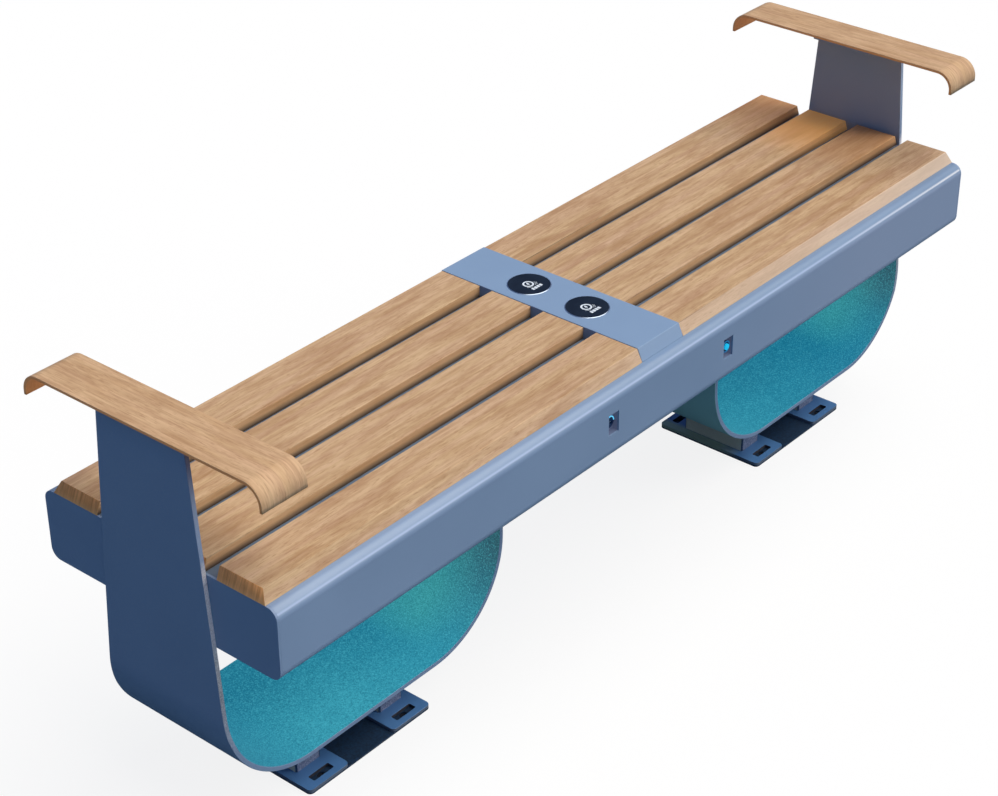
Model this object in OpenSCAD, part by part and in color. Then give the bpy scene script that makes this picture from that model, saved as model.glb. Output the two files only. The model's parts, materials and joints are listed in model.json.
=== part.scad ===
// Street bench with powered centre panel: a folded steel seat box on two bent plate legs,
// timber slats, wireless charge pads, a USB socket, a lit push-button and under-seat light.
// X runs along the seat, the front with the sockets faces -Y, Z is up.
// The origin is the middle of the footprint, at the underside of the foot mats.

/* [Seat box] */
// Length of the seat box between the outer faces of its end plates
seat_len = 1800; // [1560:10:2400]
// Depth of the seat box, front to back
seat_depth = 478; // [400:2:580]
// Height of the folded seat box
case_h = 122; // [110:1:150]
// Thickness of the folded sheet
sheet_t = 3; // [2:0.5:4]
// Outside radius of the four long folded edges
case_r = 18; // [8:1:21]
// Thickness of the end plates
end_t = 4; // [3:0.5:6]

/* [Service bay] */
// Distance between the service cover and the fixing flange of each leg
bay_gap = 31.3; // [10:0.1:60]
// Distance between the opening in the underside and the front and back of the box
bay_margin = 99; // [90:1:120]
// How far the cover laps over the edge of the opening
cover_lap = 16; // [12:1:22]
// Thickness of the service cover
cover_t = 2; // [1.5:0.5:4]
// Corner radius of the service cover
cover_r = 12; // [6:1:20]

/* [Slats] */
// Distance from the front and back of the box to the foot of the nearest slat
slat_margin = 21.55; // [18:0.05:40]
// Gap between two slats
slat_gap = 25.5; // [10:0.5:34]
// Thickness of a slat
slat_t = 21; // [18:0.5:36]
// Run of the sloping long edge of the two outermost slats
side_bevel = 10; // [2:0.5:12]
// Run of the sloping outer end of every slat
end_bevel = 8.5; // [2:0.5:20]
// Small chamfer along the upper edges of a slat
arris = 1.2; // [0.4:0.1:3]
// Distance from a slat's end to its nearest screw
screw_inset = 60; // [40:5:120]

/* [Centre panel] */
// Width of the raised metal panel, along the bench
panel_w = 109.8; // [100:0.2:140]
// Sheet thickness of the panel
panel_t = 2; // [1:0.5:3]
// How far the panel stands above the slats
panel_proud = 1; // [0:0.5:3]
// Width of the fixing tabs folded in at the foot of the panel
panel_tab = 16; // [14:1:24]

/* [Charge pads] */
// Diameter of the round charge pad
pad_d = 71.5; // [60:0.5:80]
// Distance between the centres of the two pads
pad_pitch = 123.4; // [110:0.2:140]
// Radial width of the trim ring round a pad, at its foot
ring_w = 1.6; // [1.2:0.2:3]
// Radial width of the ring's flat top, inside its sloping side
ring_land = 0.4; // [0.2:0.1:0.8]
// How far pad and ring stand above the panel
pad_proud = 0.8; // [0.6:0.2:3]
// Depth of the pad's face below the top of its ring
pad_sink = 0.2; // [0.1:0.1:0.6]
// Width of the hidden flange that holds a pad under the panel
pad_flange = 5; // [3.5:0.5:6]
// Thickness of the hidden pad flange
pad_flange_t = 2; // [1:0.5:3]
// Diameter of the coil module under a pad
coil_d = 64; // [50:1:70]

/* [Ports] */
// Width of a port cut-out in the front fascia
port_w = 26; // [24:1:32]
// Height of a port cut-out
port_h = 38; // [34:1:44]
// Distance of each port from the middle of the bench
port_x = 155; // [130:1:190]
// Depth of a port's centre below the top of the box
port_drop = 58; // [50:1:66]
// Depth of the recess behind a cut-out
port_depth = 12; // [9:1:18]
// Sheet thickness of the recess cup
cup_t = 1.5; // [1:0.5:2.5]
// Diameter of the round socket and of the button housing
bezel_d = 22; // [20:0.5:23.5]
// Thickness of the socket's bezel in front of the cup's floor
usb_bezel_t = 3.5; // [1.5:0.5:5]
// Thickness of the button's bezel in front of the cup's floor
button_bezel_t = 7; // [4:0.5:7.5]
// Diameter of the barrel behind the bezel
barrel_d = 18; // [16.5:0.5:19]
// Length of the barrel behind the cup's floor
barrel_len = 26; // [20:1:36]
// Radial width of the lit ring
glow_w = 1.8; // [1:0.2:2.4]
// Thickness of the lit ring
glow_t = 0.8; // [0.5:0.1:1.5]
// Width of the USB opening
usb_w = 12.5; // [12:0.1:13]
// Height of the USB opening
usb_h = 5.2; // [4.6:0.1:6]
// How far the USB opening lies below the middle of its bezel
usb_drop = 2.6; // [2:0.1:3]
// Depth of the USB opening
usb_deep = 14; // [11:1:18]
// Thickness of the contact tongue in the USB opening
tongue_t = 1.9; // [1.5:0.1:2.2]
// Diameter of the button's face
button_d = 11; // [10:0.1:12.4]
// How far the button's face stands in front of its ring
button_proud = 2; // [1.6:0.1:2.6]
// Travel of the button
button_travel = 1.5; // [1:0.1:2]
// Length of the narrow guide in front of the button's collar
guide_len = 9; // [6:0.5:12]
// Thickness of the collar that keeps the button in its bezel
collar_t = 2; // [1.5:0.5:3]
// Diameter of the collar
collar_d = 14.2; // [13.6:0.1:14.8]
// Diameter of the stem behind the collar
stem_d = 5; // [4:0.5:7]
// Width and height of the switch behind the button
switch_w = 20; // [18:1:24]
// Length of the switch
switch_l = 16; // [12:1:20]

/* [Legs] */
// Thickness of the bent plate legs
leg_t = 8; // [6:1:12]
// Reach of a leg along the bench, over its two upright sides
leg_reach = 617; // [500:1:720]
// Outside radius of the two large bends
leg_r = 168; // [120:1:176]
// Height from the outside of the bend to the underside of the seat box
leg_clear = 291; // [260:1:330]
// Width of a leg at its bends, front to back
leg_low_w = 250; // [236:1:300]
// Height above a leg's underside where its outer side starts to narrow
leg_taper = 112; // [60:2:220]
// Width of a leg under the armrest
leg_top_w = 178; // [130:1:220]
// Width of the fixing flange on the inner side, along the bench
flange_w = 96; // [88:1:110]
// Length of the fixing flange, front to back
flange_len = 210; // [190:1:230]
// Thickness of the fixing flange
flange_t = 8; // [6:1:12]

/* [Armrests] */
// Height of the armrest's top face above the slats
arm_rise = 184; // [150:1:230]
// Width of the bent timber strip, along the bench
arm_w = 86; // [76:1:110]
// Thickness of the strip
arm_t = 5; // [4:0.5:8]
// Length of the strip, front to back, over its two curls
arm_len = 478; // [400:1:560]
// Outside radius of a curl
arm_r = 32; // [20:1:40]
// Straight length below a curl
arm_tip = 7; // [0.5:0.5:16]
// Overhang of the strip beyond the outer face of the leg
arm_over = 5; // [0:0.5:8]
// Length of the bracket under the strip, front to back
bracket_len = 120; // [100:2:126]
// Thickness of the bracket
bracket_t = 5; // [4:0.5:8]

/* [Feet] */
// Width of a foot plate, along the bench
foot_w = 88; // [76:1:92]
// Length of a foot plate, front to back
foot_len = 226; // [212:1:260]
// Thickness of a foot plate
foot_t = 6; // [4:1:10]
// Corner radius of a foot plate
foot_r = 8; // [2:1:10]
// Gap between the two foot plates of a leg
foot_gap = 102; // [90:1:110]
// Width of a fixing slot and of the mat's holes
slot_w = 14; // [10:0.5:16]
// Corner radius of a fixing slot
slot_r = 2.5; // [1:0.5:4]
// End-to-end length of a fixing slot
slot_len = 44; // [30:1:50]
// Distance from the middle of a slot to the nearest end of its plate
slot_edge = 19.5; // [16:0.5:30]
// Width of the riser between plate and leg, along the bench
riser_w = 53; // [44:1:58]
// Length of the riser, front to back
riser_len = 133; // [110:1:140]
// Height of the riser
riser_h = 80; // [40:1:120]
// Wall of the hollow riser
riser_wall = 5; // [3:0.5:8]
// Outside corner radius of the riser
riser_r = 3; // [1:0.5:5]
// Thickness of the rubber mat under the two plates of a leg
mat_t = 3; // [2:0.5:6]

/* [Under-seat light] */
// Distance between the ends of the under-seat light and the leg's upright sides
led_inset = 88.5; // [60:0.5:150]
// Width of the light's aluminium channel
led_w = 22; // [18:1:30]
// Height of the channel
led_h = 11; // [9:0.5:16]
// Wall of the channel
led_wall = 1.5; // [1:0.5:2]
// Thickness of the opal lens
lens_t = 2; // [1.5:0.5:3]
// Width of the ledges that the lens lies against
led_ledge = 1.2; // [0.8:0.1:2]

/* [Inside the box] */
// Sheet thickness of the two ribs
rib_t = 3; // [2:0.5:5]
// Distance between a rib's ends and the front and back of the box
rib_margin = 96; // [84:1:108]
// Width of a rib's folded edges
rib_edge = 84; // [78:1:90]
// Diameter of the openings in a rib
rib_hole_d = 60; // [30:1:70]
// Share of the service bay's length left free at each end
inset_share = 0.04; // [0.02:0.01:0.06]
// Share of the bay's length that the battery pack takes
battery_share = 0.525; // [0.4:0.005:0.55]
// Width of the battery pack
battery_w = 150; // [120:5:180]
// Height of the battery pack
battery_h = 82; // [60:1:94]
// Diameter of the battery's terminals
post_d = 12; // [8:1:16]
// Share of the bay's length that the charge controller takes
control_share = 0.3; // [0.2:0.01:0.32]
// Width of the charge controller
control_w = 100; // [80:5:130]
// Height of the charge controller
control_h = 34; // [26:1:50]
// Height of the controller's box below its fins
control_base = 15; // [10:1:20]
// Number of cooling fins on the charge controller
control_fins = 9; // [5:1:11]
// Width of the cable duct
duct_w = 22; // [16:1:24]
// Height of the cable duct
duct_h = 20; // [14:1:30]
// Wall of the cable duct
duct_wall = 1.5; // [1:0.5:2]
// Diameter of the cable gland's thread
gland_d = 16; // [12:1:18]
// Diameter of the gland's passage
gland_bore = 6.5; // [4:0.5:7.5]

/* [Fasteners] */
// Shank diameter of the slat screws
wood_screw_d = 5; // [4:0.5:6]
// Length of a slat screw's shank above the sheet
wood_screw_len = 14; // [8:0.5:16]
// Diameter of the leg bolts and studs
bolt_d = 10; // [8:1:12]
// Diameter of the small machine screws
small_d = 5; // [4:0.5:6]
// Diameter of the armrest screws
arm_screw_d = 3.5; // [3:0.5:4]
// Depth of the armrest screws in the timber
arm_screw_bite = 3; // [2:0.5:3.5]

/* [Fits] */
// Clearance between pieces that lie side by side
fit = 0.3; // [0.2:0.05:0.4]
// Radial clearance of a shank in its hole
hole_fit = 0.25; // [0.1:0.05:0.5]
// Radial running clearance of the button
run_fit = 0.08; // [0.05:0.01:0.1]

/* [Hidden] */
$fn = 64;

// Colours, as the finishes look in daylight
steel_blue = "#64779a";
steel_light = "#8ca3c6";
navy = "#33486a";
plate_blue = "#45689a";
riser_grey = "#5b6478";
timber = "#c9a67d";
timber_arm = "#c49a6c";
black = "#16202f";
rubber = "#16233a";
zinc = "#b8bcc2";
cyan = "#35d6f0";

// Heights, from the ground up
plate_z = mat_t;
riser_z = plate_z + foot_t;
leg_z = riser_z + riser_h;
case_z = leg_z + leg_clear;
case_top = case_z + case_h;
slat_top = case_top + slat_t;
arm_top = slat_top + arm_rise;
arm_under = arm_top - arm_t;

// Places along and across the bench
front = -seat_depth / 2;
led_len = leg_reach - 2 * led_inset;
leg_out = seat_len / 2 + fit + leg_t;
leg_in = leg_out - leg_reach;
leg_mid = leg_out - leg_reach / 2;
foot_mid = (foot_gap + foot_w) / 2;
slot_pitch = foot_len - 2 * slot_edge;
slat_w = (seat_depth - 2 * (slat_margin + side_bevel) - 3 * slat_gap) / 4;
slat_pitch = slat_w + slat_gap;
field_half = 2 * slat_w + 1.5 * slat_gap;
slat_x0 = panel_w / 2 + fit;
slat_x1 = seat_len / 2;
slat_y = [for (i = [0:3]) (i - 1.5) * slat_pitch];
screw_x = [slat_x0 + screw_inset, (slat_x0 + slat_x1) / 2, slat_x1 - screw_inset];
panel_top = slat_top + panel_proud;
panel_under = panel_top - panel_t;
tab_y = field_half + side_bevel - panel_t - panel_tab / 2;

// Extrudes a Y-Z outline along X, about X = 0
module along_x(length) {
    rotate([90, 0, 90]) linear_extrude(length, center = true) children();
}

// Extrudes an X-Z outline along Y, about Y = 0
module along_y(length) {
    rotate([90, 0, 0]) linear_extrude(length, center = true) children();
}

// A round bar along Y from y0 to y1
module rod_y(x, y0, y1, z, d) {
    translate([x, y0, z]) rotate([-90, 0, 0]) cylinder(h = y1 - y0, d = d);
}

// A round bar along X from x0 to x1
module rod_x(x0, x1, y, z, d) {
    translate([x0, y, z]) rotate([0, 90, 0]) cylinder(h = x1 - x0, d = d);
}

// A hexagon nut or head along Z, measured across its flats
module hex(af, h) {
    cylinder(h = h, d = af / cos(30), $fn = 6);
}

// Flat rectangle with round corners, about its centre
module round_rect(w, h, r) {
    square([w - 2 * r, h], center = true);
    square([w, h - 2 * r], center = true);
    for (sx = [-1, 1], sy = [-1, 1]) translate([sx * (w / 2 - r), sy * (h / 2 - r)]) circle(r);
}

// Draws a right-hand shape and its mirror image
module each_side() {
    children();
    mirror([1, 0, 0]) children();
}

// Left pieces are drawn as right ones and mirrored
module side(name) {
    if (name == "left") mirror([1, 0, 0]) children();
    else children();
}

// Places of the slat screws on the top of the box
module slat_spots() {
    for (s = [-1, 1], x = screw_x, y = slat_y) translate([s * x, y, case_top]) children();
}

// Places of the screws in the centre panel's tabs
module tab_spots() {
    for (sx = [-1, 1], sy = [-1, 1]) translate([sx * panel_w / 4, sy * tab_y, case_top]) children();
}

// A hole through a sheet that lies between two heights, cut a little past both faces
module sheet_hole(z0, z1, d) {
    translate([0, 0, z0 - 1]) cylinder(h = z1 - z0 + 2, d = d + 2 * hole_fit);
}

// Place of the inner fixing flange and of its bolts
flange_x = leg_in + leg_t / 2;
flange_dx = flange_w / 2 - 2 * bolt_d;
flange_dy = flange_len / 2 - 2.5 * bolt_d;
module flange_spots() {
    for (sx = [-1, 1], sy = [-1, 1]) translate([flange_x + sx * flange_dx, sy * flange_dy, 0]) children();
}

// Stud places in the end plate, clear of the folded edges
stud_dy = leg_top_w / 2 - 3 * bolt_d;
stud_dz = case_h / 2 - case_r - 1.2 * bolt_d;
module stud_spots() {
    for (sy = [-1, 1], sz = [-1, 1]) {
        translate([0, sy * stud_dy, case_z + case_h / 2 + sz * stud_dz]) children();
    }
}

// Service bay between the flanges of the two legs, and what lies in it
cover_len = 2 * (flange_x - flange_w / 2 - bay_gap);
bay_len = cover_len - 2 * cover_lap;
bay_w = seat_depth - 2 * bay_margin;
cover_w = bay_w + 2 * cover_lap;
bay_inset = inset_share * bay_len;
battery_l = battery_share * bay_len;
control_l = control_share * bay_len;

// Screw places round the service cover
module cover_spots() {
    for (x = [-1, 0, 1], sy = [-1, 1]) {
        translate([x * (cover_len / 2 - 2 * cover_r), sy * (cover_w - cover_lap) / 2, 0]) children();
    }
    for (sx = [-1, 1]) translate([sx * (cover_len - cover_lap) / 2, 0, 0]) children();
}

// Cable duct just behind the service cover, and the gland behind the duct
duct_y = cover_w / 2 + fit + duct_w / 2;
gland_hex = 1.35 * gland_d;
gland_y = duct_y + (duct_w + gland_hex / cos(30)) / 2 + 2;

// Depths of the two ports: the USB socket at the left, the button at the right
port_z = case_top - port_drop;
cup_floor = front + port_depth;
usb_y = cup_floor - usb_bezel_t;
button_y = cup_floor - button_bezel_t;
stem_y = cup_floor + barrel_len;

// Folded tube of the seat box with its port cut-outs, holes and service bay
module seat_case() {
    color(steel_blue) difference() {
        translate([0, 0, case_z + case_h / 2]) along_x(seat_len - 2 * end_t) difference() {
            round_rect(seat_depth, case_h, case_r);
            round_rect(seat_depth - 2 * sheet_t, case_h - 2 * sheet_t, case_r - sheet_t);
        }
        for (s = [-1, 1]) translate([s * port_x - port_w / 2, front - 1, port_z - port_h / 2])
            cube([port_w, sheet_t + 2, port_h]);
        slat_spots() sheet_hole(-sheet_t, 0, wood_screw_d);
        tab_spots() sheet_hole(-sheet_t, 0, small_d);
        translate([0, 0, case_z - 1]) linear_extrude(sheet_t + 2) round_rect(bay_len, bay_w, cover_r);
        cover_spots() sheet_hole(case_z, case_z + sheet_t, small_d);
        each_side() flange_spots() sheet_hole(case_z, case_z + sheet_t, bolt_d);
        translate([0, gland_y, 0]) sheet_hole(case_z, case_z + sheet_t, gland_d);
    }
}

// Flat end plate with the holes for the leg's studs
module end_plate(name) {
    color(navy) side(name) difference() {
        translate([seat_len / 2 - end_t / 2, 0, case_z + case_h / 2]) along_x(end_t)
            round_rect(seat_depth, case_h, case_r);
        stud_spots() rod_x(seat_len / 2 - end_t - 1, seat_len / 2 + 1, 0, 0, bolt_d + 2 * hole_fit);
    }
}

// Folded channel that ties top and bottom of the box over the leg's inner side;
// where a slat's screw falls above it, its upper edge has a hole round the head
module rib(name) {
    inner_h = case_h - 2 * sheet_t;
    rib_len = seat_depth - 2 * rib_margin;
    color(zinc) side(name) difference() {
        translate([flange_x, 0, case_z + sheet_t]) along_y(rib_len) {
            translate([-rib_edge / 2, 0]) square([rib_edge, rib_t]);
            translate([-rib_edge / 2, inner_h - rib_t]) square([rib_edge, rib_t]);
            translate([-rib_t / 2, 0]) square([rib_t, inner_h]);
        }
        for (s = [-1, 1]) {
            rod_x(flange_x - rib_t, flange_x + rib_t, s * rib_len / 4, case_z + case_h / 2, rib_hole_d);
        }
        flange_spots() sheet_hole(case_z + sheet_t, case_z + sheet_t + rib_t, bolt_d);
        slat_spots() sheet_hole(-sheet_t - rib_t, -sheet_t, 2 * wood_screw_d);
    }
}

// Screwed cover of the service bay
module service_cover() {
    color(steel_blue) difference() {
        translate([0, 0, case_z - cover_t]) linear_extrude(cover_t) round_rect(cover_len, cover_w, cover_r);
        cover_spots() sheet_hole(case_z - cover_t, case_z, small_d);
    }
}

// Cross-section of the panel in Y-Z, drawn in by the given wall
module panel_section(wall) {
    h = slat_t + panel_proud;
    polygon([
        [-field_half - side_bevel + wall, 0], [field_half + side_bevel - wall, 0],
        [field_half - wall, h - wall], [-field_half + wall, h - wall]
    ]);
}

// Folded lid in the middle of the seat, open below, with two tabs at its foot
module centre_panel() {
    tab_len = panel_w - 2 * panel_t;
    color(steel_light) difference() {
        union() {
            translate([0, 0, case_top]) difference() {
                along_x(panel_w) panel_section(0);
                along_x(tab_len) panel_section(panel_t);
            }
            for (s = [-1, 1]) translate([-tab_len / 2, s * tab_y - panel_tab / 2, case_top])
                cube([tab_len, panel_tab, panel_t]);
        }
        for (s = [-1, 1]) translate([0, s * pad_pitch / 2, 0])
            sheet_hole(panel_under, panel_top, pad_d + 2 * ring_w);
        tab_spots() sheet_hole(0, panel_t, small_d);
    }
}

// Round charge pad: a face inside its trim ring and a flange under the panel
module pad(s) {
    color(black) translate([0, s * pad_pitch / 2, 0]) {
        translate([0, 0, panel_under]) cylinder(h = panel_t + pad_proud - pad_sink, d = pad_d);
        translate([0, 0, panel_under - pad_flange_t])
            cylinder(h = pad_flange_t, d = pad_d + 2 * ring_w + 2 * pad_flange);
    }
}

// Trim ring between pad and panel, with a sloping outer side above the panel
module pad_ring(s) {
    r_in = pad_d / 2 + hole_fit;
    r_out = pad_d / 2 + ring_w;
    color(zinc) translate([0, s * pad_pitch / 2, panel_under]) rotate_extrude() polygon([
        [r_in, 0], [r_out, 0], [r_out, panel_t + 0.2 * pad_proud],
        [r_in + ring_land, panel_t + pad_proud], [r_in, panel_t + pad_proud]
    ]);
}

// Charging coil in its housing under a pad
module coil(s) {
    h = panel_under - pad_flange_t - case_top;
    color(rubber) translate([0, s * pad_pitch / 2, case_top]) {
        cylinder(h = h * 0.4, d = coil_d);
        cylinder(h = h, d = coil_d * 0.7);
    }
}

// Pressed cup behind a cut-out, with a flange on the fascia and a round hole in its floor
module recess(x) {
    rim = 6;
    color(navy) translate([x, 0, port_z]) difference() {
        union() {
            translate([-port_w / 2 - cup_t, front + sheet_t, -port_h / 2 - cup_t])
                cube([port_w + 2 * cup_t, port_depth - sheet_t + cup_t, port_h + 2 * cup_t]);
            translate([-port_w / 2 - rim, front + sheet_t, -port_h / 2 - rim])
                cube([port_w + 2 * rim, cup_t, port_h + 2 * rim]);
        }
        translate([-port_w / 2, front, -port_h / 2]) cube([port_w, port_depth, port_h]);
        rod_y(0, front, front + 3 * port_depth, 0, barrel_d + 2 * hole_fit);
    }
}

// Round housing: bezel from y0 to the cup's floor, barrel behind it
module housing(y0) {
    rod_y(0, y0, cup_floor, 0, bezel_d);
    rod_y(0, cup_floor, cup_floor + barrel_len, 0, barrel_d);
}

module usb_body() {
    color(black) translate([-port_x, 0, port_z]) difference() {
        housing(usb_y);
        translate([-usb_w / 2, usb_y - 1, -usb_drop - usb_h / 2]) cube([usb_w, usb_deep + 1, usb_h]);
    }
}

// Lit ring that stands on the face of a bezel at y
module glow_ring(y) {
    difference() {
        rod_y(0, y - glow_t, y, 0, bezel_d - 1);
        rod_y(0, y - glow_t - 1, y + 1, 0, bezel_d - 1 - 2 * glow_w);
    }
}

// Lit arc over the USB opening
module usb_light() {
    color(cyan) translate([-port_x, 0, port_z]) difference() {
        glow_ring(usb_y);
        translate([-bezel_d, usb_y - bezel_d, -bezel_d]) cube([2 * bezel_d, 2 * bezel_d, bezel_d]);
    }
}

// Contact tongue, fixed at the back of the USB opening
module usb_tongue() {
    tongue_w = usb_w - 2;
    tip_gap = 2;
    color("white") translate([-port_x - tongue_w / 2, usb_y + tip_gap, port_z - usb_drop + fit])
        cube([tongue_w, usb_deep - tip_gap, tongue_t]);
}

// Bezel with a stepped bore: a narrow guide, then room for the collar
module button_bezel() {
    color(black) translate([port_x, 0, port_z]) difference() {
        housing(button_y);
        rod_y(0, button_y - 1, stem_y + 1, 0, button_d + 2 * run_fit);
        rod_y(0, button_y + guide_len, stem_y + 1, 0, collar_d + 2 * run_fit);
    }
}

module button_light() {
    color(cyan) translate([port_x, 0, port_z]) glow_ring(button_y);
}

// Moving cap of the push-button, with the collar behind its guide and the stem
module button_cap() {
    collar_y = button_y + guide_len + fit;
    color(cyan) translate([port_x, 0, port_z]) {
        rod_y(0, button_y - glow_t - button_proud, collar_y, 0, button_d);
        rod_y(0, collar_y, collar_y + collar_t, 0, collar_d);
        rod_y(0, collar_y + collar_t, stem_y + 1, 0, stem_d);
    }
}

// Switch behind the button, with a pocket for the stem's whole travel
module switch_body() {
    color(rubber) translate([port_x, 0, port_z]) difference() {
        translate([-switch_w / 2, stem_y, -switch_w / 2]) cube([switch_w, switch_l, switch_w]);
        rod_y(0, stem_y - 1, stem_y + button_travel + 2, 0, stem_d + 2 * fit);
    }
}

// Battery pack with rounded edges and two terminals, on the service cover
module battery_pack() {
    corner_r = 8;
    color(rubber) translate([-bay_len / 2 + battery_l / 2 + bay_inset, 0, case_z]) {
        linear_extrude(battery_h) round_rect(battery_l, battery_w, corner_r);
        for (s = [-1, 1]) translate([battery_l / 2 - 2 * post_d, s * battery_w / 3, battery_h])
            cylinder(h = post_d / 2, d = post_d);
    }
}

// Charge controller with a finned back, on the service cover
module charge_controller() {
    corner_r = 4;
    pitch = control_l / control_fins;
    fin_t = pitch / 3;
    color(zinc) translate([bay_len / 2 - control_l / 2 - bay_inset, 0, case_z]) {
        linear_extrude(control_base) round_rect(control_l, control_w, corner_r);
        for (i = [0:control_fins - 1]) {
            fin_x = (i - (control_fins - 1) / 2) * pitch - fin_t / 2;
            translate([fin_x, -control_w / 2 + corner_r, control_base])
                cube([fin_t, control_w - 2 * corner_r, control_h - control_base]);
        }
    }
}

// Cable gland in the underside: hexagon and dome below, thread and nut inside
module cable_gland() {
    hex_h = 5;
    dome_h = 10;
    nut_h = 4;
    thread_h = sheet_t + 2 * nut_h;
    color(black) translate([0, gland_y, case_z]) difference() {
        union() {
            translate([0, 0, -hex_h]) hex(gland_hex, hex_h);
            translate([0, 0, -hex_h - dome_h]) cylinder(h = dome_h, d1 = 0.7 * gland_d, d2 = 1.2 * gland_d);
            cylinder(h = thread_h, d = gland_d);
            translate([0, 0, sheet_t]) hex(gland_hex, nut_h);
        }
        translate([0, 0, -hex_h - dome_h - 1]) cylinder(h = hex_h + dome_h + thread_h + 2, d = gland_bore);
    }
}

// Plastic duct that carries the leads past the ribs to both lights
module cable_duct() {
    duct_len = 2 * (leg_mid - led_len / 4);
    color("white") translate([0, duct_y, case_z + sheet_t + duct_h / 2]) along_x(duct_len) difference() {
        square([duct_w, duct_h], center = true);
        square([duct_w - 2 * duct_wall, duct_h - 2 * duct_wall], center = true);
    }
}

// Aluminium channel of the light: open below, with two ledges above the lens
module led_profile(name) {
    mouth = led_w - 2 * led_wall;
    color(zinc) side(name) translate([leg_mid, 0, case_z - led_h]) along_x(led_len) difference() {
        translate([-led_w / 2, 0]) square([led_w, led_h]);
        translate([-mouth / 2, -1]) square([mouth, lens_t + 1]);
        translate([-mouth / 2 + led_ledge, -1]) square([mouth - 2 * led_ledge, led_h - led_wall + 1]);
    }
}

module led_lens(name) {
    lens_w = led_w - 2 * led_wall - 2 * hole_fit;
    color(cyan) side(name) translate([leg_mid, 0, case_z - led_h]) along_x(led_len)
        translate([-lens_w / 2, 0]) square([lens_w, lens_t]);
}

// Flat outline of the U bend: two upright sides and two round corners
module bend_outline(w, r, h) {
    translate([-w / 2, r]) square([w, h - r]);
    translate([-w / 2 + r, 0]) square([w - 2 * r, h]);
    for (s = [-1, 1]) translate([s * (w / 2 - r), r]) circle(r, $fn = 128);
}

// Bent plate leg: U-shaped from the front; its outer side narrows towards the armrest
module leg(name) {
    leg_h = arm_under - leg_z;
    inner_h = leg_clear - flange_t;
    color(steel_blue) side(name) intersection() {
        translate([leg_mid, 0, leg_z]) along_y(2 * leg_low_w) difference() {
            bend_outline(leg_reach, leg_r, leg_h);
            translate([0, leg_t]) bend_outline(leg_reach - 2 * leg_t, leg_r - leg_t, leg_h);
            translate([-leg_reach, inner_h]) square([leg_reach, leg_h]);
        }
        union() {
            translate([leg_in, 0, leg_z]) along_x(leg_reach)
                translate([-leg_low_w / 2, -1]) square([leg_low_w, leg_h]);
            translate([leg_out, 0, leg_z]) along_x(leg_reach) polygon([
                [-leg_low_w / 2, -1], [leg_low_w / 2, -1], [leg_low_w / 2, leg_taper],
                [leg_top_w / 2, leg_h + 1], [-leg_top_w / 2, leg_h + 1], [-leg_low_w / 2, leg_taper]
            ]);
        }
    }
}

// Plate welded on the leg's inner side and bolted under the box
module leg_flange(name) {
    color(steel_blue) side(name) difference() {
        translate([flange_x - flange_w / 2, -flange_len / 2, case_z - flange_t])
            cube([flange_w, flange_len, flange_t]);
        flange_spots() sheet_hole(case_z - flange_t, case_z, bolt_d);
    }
}

// Side view of a block whose two upper corners are rounded
module arm_outline(len, r, h) {
    translate([-len / 2 + r, 0]) square([len - 2 * r, h]);
    translate([-len / 2, 0]) square([len, h - r]);
    intersection() {
        for (s = [-1, 1]) translate([s * (len / 2 - r), h - r]) circle(r, $fn = 96);
        translate([-len / 2, 0]) square([len, h]);
    }
}

// Armrest: a flat strip with both ends curled down
arm_x = leg_out + arm_over - arm_w / 2;
arm_drop = arm_r + arm_tip;
module arm(name) {
    color(timber_arm) side(name) difference() {
        translate([arm_x, 0, arm_top - arm_drop]) along_x(arm_w) difference() {
            arm_outline(arm_len, arm_r, arm_drop);
            translate([0, -arm_t]) arm_outline(arm_len - 2 * arm_t, arm_r - arm_t, arm_drop);
        }
        arm_spots() cylinder(h = bracket_t + arm_screw_bite, d = arm_screw_d + 2 * hole_fit);
    }
}

// Bracket under the strip, welded to the inner face of the leg
bracket_w = arm_w - leg_t - 2 * arm_over;
bracket_x = leg_out - leg_t - bracket_w;
module arm_spots() {
    inset = 3 * arm_screw_d;
    for (x = [inset, bracket_w - inset], s = [-1, 1]) {
        translate([bracket_x + x, s * (bracket_len / 2 - inset), arm_under - bracket_t]) children();
    }
}

module arm_bracket(name) {
    color(steel_blue) side(name) difference() {
        translate([bracket_x, -bracket_len / 2, arm_under - bracket_t])
            cube([bracket_w, bracket_len, bracket_t]);
        arm_spots() sheet_hole(0, bracket_t, arm_screw_d);
    }
}

// Foot plate with a slot at each end; x is its place along the bench
module foot_plate(x) {
    color(plate_blue) translate([x, 0, plate_z]) linear_extrude(foot_t) difference() {
        round_rect(foot_w, foot_len, foot_r);
        for (s = [-1, 1]) translate([0, s * slot_pitch / 2]) round_rect(slot_len, slot_w, slot_r);
    }
}

// Hollow riser between foot plate and leg
module foot_riser(x) {
    color(riser_grey) translate([x, 0, riser_z]) linear_extrude(riser_h) difference() {
        round_rect(riser_w, riser_len, riser_r);
        square([riser_w - 2 * riser_wall, riser_len - 2 * riser_wall], center = true);
    }
}

// Rubber mat under both plates of a leg, with an anchor hole at the middle of each slot
module ground_mat(name) {
    color(rubber) side(name) translate([leg_mid, 0, 0]) linear_extrude(mat_t) difference() {
        round_rect(2 * foot_mid + foot_w, foot_len, foot_r);
        for (sx = [-1, 1], sy = [-1, 1]) translate([sx * foot_mid, sy * slot_pitch / 2]) circle(d = slot_w);
    }
}

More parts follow.
